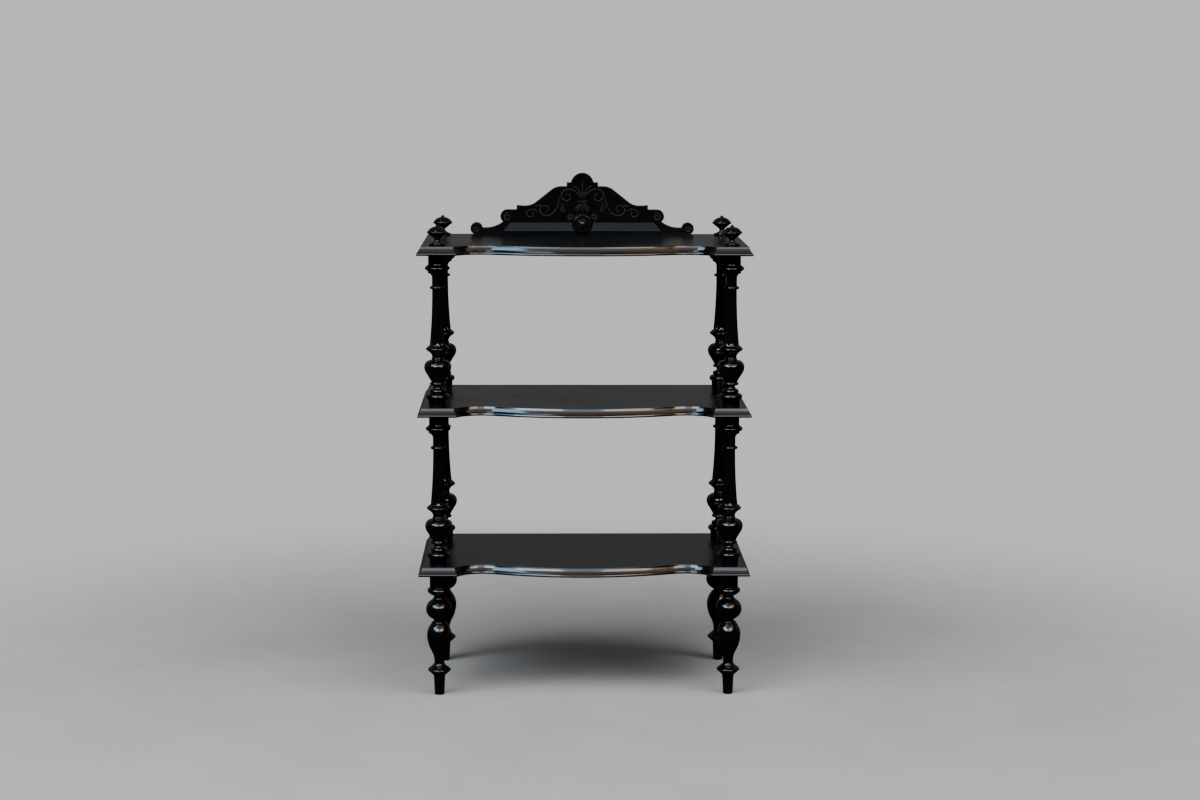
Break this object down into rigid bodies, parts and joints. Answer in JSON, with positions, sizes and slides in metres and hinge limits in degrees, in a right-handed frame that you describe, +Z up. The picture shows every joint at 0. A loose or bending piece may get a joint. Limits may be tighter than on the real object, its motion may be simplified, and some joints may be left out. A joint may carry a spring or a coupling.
{
  "type": "etagere",
  "caption": "Free-standing tiered etagere in black lacquered wood: serpentine moulded shelves on turned, fluted columns, with cup finials and a fretted, incised crest.",
  "frame": {"origin": "on the floor, under the middle of the whole etagere", "axes": "+Z up, +X to the right seen from the front, the bowed front faces -Y"},
  "size_m": [0.77, 0.451, 1.2025],
  "materials": {
    "turned_lacquer": "black ebonised wood under glossy lacquer",
    "shelf_lacquer": "black ebonised boards under satin lacquer, worn a little on the edges",
    "crest_lacquer": "black ebonised board under satin lacquer, with incised lines",
    "dowel_beech": "bare beech"
  },
  "bodies": {
    "root": {"front_left_leg": "turned_lacquer", "front_right_leg": "turned_lacquer", "back_left_leg": "turned_lacquer", "back_right_leg": "turned_lacquer", "front_left_lower_column": "turned_lacquer", "front_right_lower_column": "turned_lacquer", "back_left_lower_column": "turned_lacquer", "back_right_lower_column": "turned_lacquer", "front_left_upper_column": "turned_lacquer", "front_right_upper_column": "turned_lacquer", "back_left_upper_column": "turned_lacquer", "back_right_upper_column": "turned_lacquer", "front_left_finial": "turned_lacquer", "front_right_finial": "turned_lacquer", "back_left_finial": "turned_lacquer", "back_right_finial": "turned_lacquer", "bottom_shelf": "shelf_lacquer", "middle_shelf": "shelf_lacquer", "top_shelf": "shelf_lacquer", "crest_board": "crest_lacquer", "crest_moulding_left": "crest_lacquer", "crest_moulding_right": "crest_lacquer", "crest_boss": "turned_lacquer", "crest_button": "turned_lacquer", "crest_dowels": "dowel_beech"}
  },
  "joints": []
}
